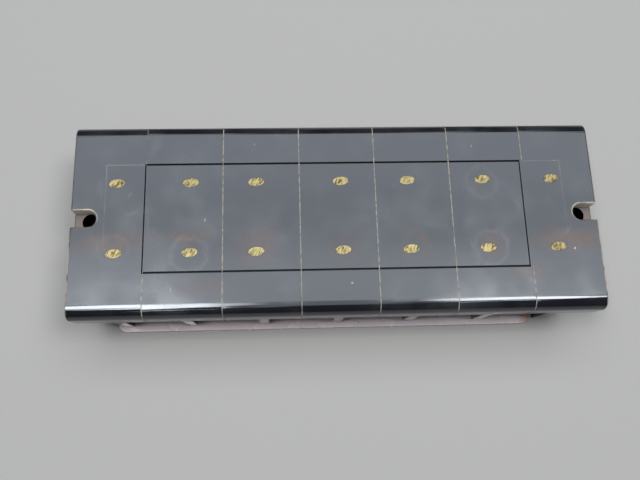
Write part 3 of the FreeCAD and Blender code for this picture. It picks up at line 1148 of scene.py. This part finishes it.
def nickel_plate(colours):
    """Nickel plating over brass: warm grey metal with a satin surface and faint rolling lines."""
    material, tree, shader = new_material("nickel_plate", Metallic=1.0)
    place = place_in_mm(tree)
    rolled = add_node(tree, "Mapping", {"Vector": place, "Scale": ROLLING_LINE}, vector_type="TEXTURE")
    lines = add_node(tree, "TexNoise", {"Vector": rolled, "Scale": 1.0, "Detail": 3.0})
    tarnish = add_node(tree, "TexNoise", {"Vector": place, "Scale": 1 / TARNISH_CLOUD, "Detail": 3.0})
    rough = add_node(tree, "MapRange", {"Value": lines, "To Min": 0.25, "To Max": 0.45})
    base = layered(tree, colours.nickel, (tarnish, colours.nickel_dull))
    connect(tree, shader, {"Base Color": base, "Roughness": rough})
    return material


def zinc_plate(colours):
    """Zinc plating over steel: pale grey metal, satin from barrel plating, with fine crystals. It is
    made once for the screws and the washers."""
    found = bpy.data.materials.get("zinc_plate")
    if found:
        return found
    material, tree, shader = new_material("zinc_plate", Metallic=1.0)
    place = place_in_mm(tree)
    crystals = add_node(tree, "TexVoronoi", {"Vector": place, "Scale": 1 / ZINC_CRYSTAL})
    dulled = add_node(tree, "TexNoise", {"Vector": place, "Scale": 1 / ZINC_CLOUD, "Detail": 3.0})
    rough = add_node(tree, "MapRange", {"Value": crystals, "To Min": 0.28, "To Max": 0.42})
    base = layered(tree, colours.zinc, (dulled, colours.zinc_dull))
    connect(tree, shader, {"Base Color": base, "Roughness": rough})
    return material


def cast_acrylic(colours, high):
    """Clear acrylic sheet with a faint pink tint: dulled faces, and a sawn end that is painted warmer as a
    painted glow.
    """
    material, tree, shader = new_material("cast_acrylic", IOR=1.49, Transmission_Weight=0.18)
    place = place_in_mm(tree)
    x = add_node(tree, "SeparateXYZ", {0: place}, out="X")
    end = high.x / MM
    # Painted glow towards the sawn end
    sawn = product(tree, (x, end - 4.0, end - 0.5, 0.0, 0.85))
    clouds = add_node(tree, "TexNoise", {"Vector": place, "Scale": 1 / ACRYLIC_CLOUD, "Detail": 3.0})
    connect(tree, shader, {"Base Color": layered(tree, colours.clear_plastic, (sawn, colours.cut_edge_glow)),
                           "Roughness": product(tree, (clouds, 0.3, 0.7, 0.2, 0.32))})
    return material


# Camera: place in millimetres and turn in degrees, fitted to the photograph
CAMERA_PLACE = (-14.7, -56.42, 212.35)
CAMERA_TURN = (14.921, -2.418, -1.616)
CAMERA_LENS = 37.97

# Softboxes that face down: name, middle in metres, size in metres, radiance, tint
DAYLIGHT = (1.0, 1.0, 1.0)
SKYLIGHT = (0.95, 0.99, 1.05)
SOFTBOXES = (
    ("overhead", (0.08, 0.42, 1.03), (1.25, 0.62), 2.14, SKYLIGHT),
    ("far", (0.08, 0.52, 1.0), (1.25, 0.34), 0.3, SKYLIGHT),
    ("left", (-0.31, -0.04, 1.03), (0.32, 0.32), 15.4, DAYLIGHT),
    ("right", (0.41, -0.02, 1.03), (0.32, 0.28), 15.4, DAYLIGHT),
    ("near", (0.06, 0.17, 1.0), (1.12, 0.13), 0.7, DAYLIGHT),
)
# More of them, which only polished faces show
GLINTS = (
    ("left_low", (-0.31, -0.26, 1.03), (0.32, 0.12), 15.4, DAYLIGHT),
    ("left_edge", (-0.115, -0.05, 1.03), (0.07, 0.3), 6.0, DAYLIGHT),
    ("left_tail", (-0.4, -0.41, 1.03), (0.2, 0.18), 5.0, DAYLIGHT),
    ("middle", (0.065, -0.22, 1.03), (0.29, 0.66), 1.2, DAYLIGHT),
    ("near_left", (-0.35, 0.19, 0.97), (0.2, 0.1), 0.45, DAYLIGHT),
)


class TERMINALSTRIP_OT_stage(bpy.types.Operator):
    """Lay the floor and set up the surroundings, the softboxes and the camera"""

    bl_idname = "terminal_strip.stage"
    bl_label = "Stage"

    def execute(self, context):
        colours = context.scene.strip_colours
        deselect()
        bpy.ops.mesh.primitive_grid_add(x_subdivisions=8, y_subdivisions=8, size=6.0, location=(0, 0, 0))
        floor = named("floor")
        material, _, _ = new_material("matt_floor", Base_Color=opaque(colours.floor), Roughness=0.9,
                                      Specular_IOR_Level=0.2)
        floor.data.materials.append(material)
        world = bpy.data.worlds.new("surroundings")
        world.use_nodes = True
        world.node_tree.nodes["Background"].inputs["Color"].default_value = opaque(colours.surroundings)
        context.scene.world = world
        for box in SOFTBOXES + GLINTS:
            name, place, size, radiance, tint = box
            lamp = bpy.data.lights.new("softbox_" + name, "AREA")
            lamp.shape = "RECTANGLE"
            lamp.size, lamp.size_y = size
            lamp.energy = radiance * math.pi * size[0] * size[1]
            lamp.color = tint
            softbox = bpy.data.objects.new("softbox_" + name, lamp)
            softbox.location = place
            softbox.visible_diffuse = box in SOFTBOXES
            context.scene.collection.objects.link(softbox)
        lens = bpy.data.cameras.new("camera")
        lens.lens = CAMERA_LENS
        lens.clip_start = 0.01
        camera = bpy.data.objects.new("camera", lens)
        camera.location = [c * MM for c in CAMERA_PLACE]
        camera.rotation_euler = [math.radians(a) for a in CAMERA_TURN]
        context.scene.collection.objects.link(camera)
        context.scene.camera = camera
        context.scene.view_settings.view_transform = "Standard"
        return {"FINISHED"}


STEPS = (
    TERMINALSTRIP_OT_stage,
    TERMINALSTRIP_OT_moulded_block,
    TERMINALSTRIP_OT_anchor_pins,
    TERMINALSTRIP_OT_terminal_bars,
    TERMINALSTRIP_OT_clamp_washers,
    TERMINALSTRIP_OT_spring_washers,
    TERMINALSTRIP_OT_terminal_screws,
    TERMINALSTRIP_OT_clear_cover,
)
GROUPS = (
    ("strip_block", BlockSizes),
    ("strip_pins", PinSizes),
    ("strip_metal", MetalSizes),
    ("strip_cover", CoverSizes),
    ("strip_colours", StripColours),
)


class VIEW3D_PT_terminal_strip(bpy.types.Panel):
    """Lists the steps and the sizes of the terminal strip."""

    bl_label = "Terminal strip"
    bl_space_type = "VIEW_3D"
    bl_region_type = "UI"
    bl_category = "Terminal strip"

    def draw(self, context):
        column = self.layout.column()
        for step in STEPS:
            column.operator(step.bl_idname)
        for name, group in GROUPS:
            box = self.layout.box()
            for key in group.__annotations__:
                box.prop(getattr(context.scene, name), key)


def register():
    """Add the classes and the scene's groups of sizes."""
    for _, group in GROUPS:
        bpy.utils.register_class(group)
    for step in STEPS:
        bpy.utils.register_class(step)
    bpy.utils.register_class(VIEW3D_PT_terminal_strip)
    for name, group in GROUPS:
        setattr(bpy.types.Scene, name, bpy.props.PointerProperty(type=group))


def unregister():
    """Take the classes and the scene's groups away again."""
    for name, _ in GROUPS:
        delattr(bpy.types.Scene, name)
    bpy.utils.unregister_class(VIEW3D_PT_terminal_strip)
    for step in reversed(STEPS):
        bpy.utils.unregister_class(step)
    for _, group in reversed(GROUPS):
        bpy.utils.unregister_class(group)


def main():
    """Register, and model the strip piece by piece."""
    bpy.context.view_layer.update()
    register()
    for step in STEPS:
        space, name = step.bl_idname.split(".")
        getattr(getattr(bpy.ops, space), name)()
    deselect()


if __name__ == "__main__":
    main()
